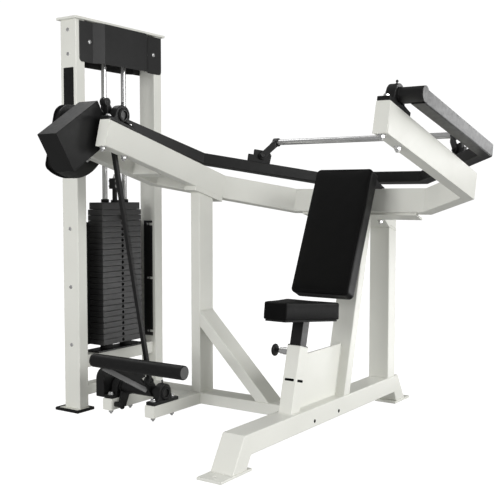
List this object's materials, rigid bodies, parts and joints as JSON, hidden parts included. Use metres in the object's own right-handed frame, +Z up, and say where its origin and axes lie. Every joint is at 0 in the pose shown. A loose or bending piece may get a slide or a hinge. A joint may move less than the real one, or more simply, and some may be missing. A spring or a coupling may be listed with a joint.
{
  "type": "seated press machine",
  "caption": "Seated press machine: floor rail with tilted seat and back pad, hinged overhead press yoke with counterweight, foot pedal link and selector weight tower.",
  "frame": {"origin": "on the floor, at the middle of the front foot plate's underside, in the seat's centre plane", "axes": "+Z up, the seated user faces -Y, +X is the user's left, and the weight tower stands at -X"},
  "size_m": [1.9421, 1.6837, 1.8258],
  "materials": {
    "white_paint": "satin off-white powder coat",
    "black_paint": "satin black powder coat",
    "plate_paint": "dark grey painted steel",
    "weight_paint": "black painted steel",
    "bright_steel": "polished chrome plate",
    "rubber": "matt rubber",
    "black_plastic": "matt moulded plastic",
    "upholstery": "fine grained vinyl over foam"
  },
  "bodies": {
    "frame": {"base_rail": "white_paint", "rail_feet": "white_paint", "rear_upright": "white_paint", "neck_tube": "white_paint", "back_upright": "white_paint", "seat_receiver": "white_paint", "gusset_plate": "white_paint", "cross_base": "white_paint", "pedal_stubs": "white_paint", "centre_upright": "white_paint", "upright_brace": "white_paint", "upper_frame": "white_paint", "outer_beam": "white_paint", "beam_tie": "white_paint", "frame_flanges": "white_paint", "tube_end_caps": "white_paint", "tower_posts": "white_paint", "tower_cap": "white_paint", "tower_feet": "white_paint", "tower_cross_tubes": "white_paint", "stack_strip": "black_paint", "stack_bumpers": "rubber", "head_beam": "white_paint", "head_panels": "black_paint", "stack_guard": "black_paint", "guide_rods": "bright_steel", "lower_weight_plates": "plate_paint", "pillow_blocks": "black_paint", "pedal_blocks": "black_paint", "grease_nipples": "bright_steel", "bearing_bolts": "bright_steel", "panel_bolts": "bright_steel", "pedal_stop": "black_paint", "pad_brackets": "black_paint", "pad_board": "black_plastic", "back_pad": "upholstery", "pop_pin_barrel": "bright_steel"},
    "pulley": {"head_pulley": "black_plastic"},
    "lifted_stack": {"head_plate": "plate_paint", "upper_weight_plates": "plate_paint", "selector_stem": "black_paint", "guide_collars": "black_paint"},
    "selector": {"selector_pin": "black_plastic"},
    "press_arm": {"press_yoke": "black_paint", "yoke_hubs": "black_paint", "pivot_shafts": "bright_steel", "counterweight": "weight_paint", "drive_cam": "black_paint", "yoke_crank": "black_paint", "bar_brackets": "black_paint", "bar_lugs": "black_paint", "press_bar": "bright_steel"},
    "link": {"link_rod": "black_paint"},
    "pedal": {"pedal_shaft": "black_paint", "pedal_lever": "black_paint", "pedal_roller": "rubber"},
    "seat": {"seat_post": "black_paint", "seat_board": "black_plastic", "seat_cushion": "upholstery"},
    "pop_pin": {"pop_pin": "black_plastic"}
  },
  "joints": [
    {"name": "press_hinge", "type": "hinge", "parent": "frame", "child": "press_arm", "pos_m": [0, 0.11775, 1.32894], "axis": [1, 0, 0], "range_deg": [0, 40]},
    {"name": "link_swing", "type": "hinge", "parent": "press_arm", "child": "link", "pos_m": [-0.636, 0.07774, 1.38094], "axis": [1, 0, 0], "range_deg": [-41, 1]},
    {"name": "pedal_hinge", "type": "hinge", "parent": "frame", "child": "pedal", "pos_m": [-0.72, 0.37, 0.156], "axis": [1, 0, 0], "range_deg": [0, 41]},
    {"name": "stack_lift", "type": "slide", "parent": "frame", "child": "lifted_stack", "axis": [0, 0, 1], "range_m": [0, 0.2]},
    {"name": "pulley_spin", "type": "hinge", "parent": "frame", "child": "pulley", "pos_m": [-1.15375, 0.6775, 1.6888], "axis": [1, 0, 0], "range_deg": [-270, 270]},
    {"name": "selector_pull", "type": "slide", "parent": "lifted_stack", "child": "selector", "axis": [1, 0, 0], "range_m": [0, 0.09]},
    {"name": "seat_slide", "type": "slide", "parent": "frame", "child": "seat", "axis": [0, 0.2561, 0.9666], "range_m": [-0.05, 0.075]},
    {"name": "pop_pin_pull", "type": "slide", "parent": "frame", "child": "pop_pin", "axis": [-1, 0, 0], "range_m": [-0.012, 0.006]}
  ],
  "couplings": [
    {"joint": "link_swing", "follows": "press_hinge", "ratio": -1},
    {"joint": "pedal_hinge", "follows": "press_hinge", "ratio": 1},
    {"joint": "stack_lift", "follows": "press_hinge", "m_per_rad": 0.28},
    {"joint": "pulley_spin", "follows": "press_hinge", "ratio": 6.6}
  ]
}
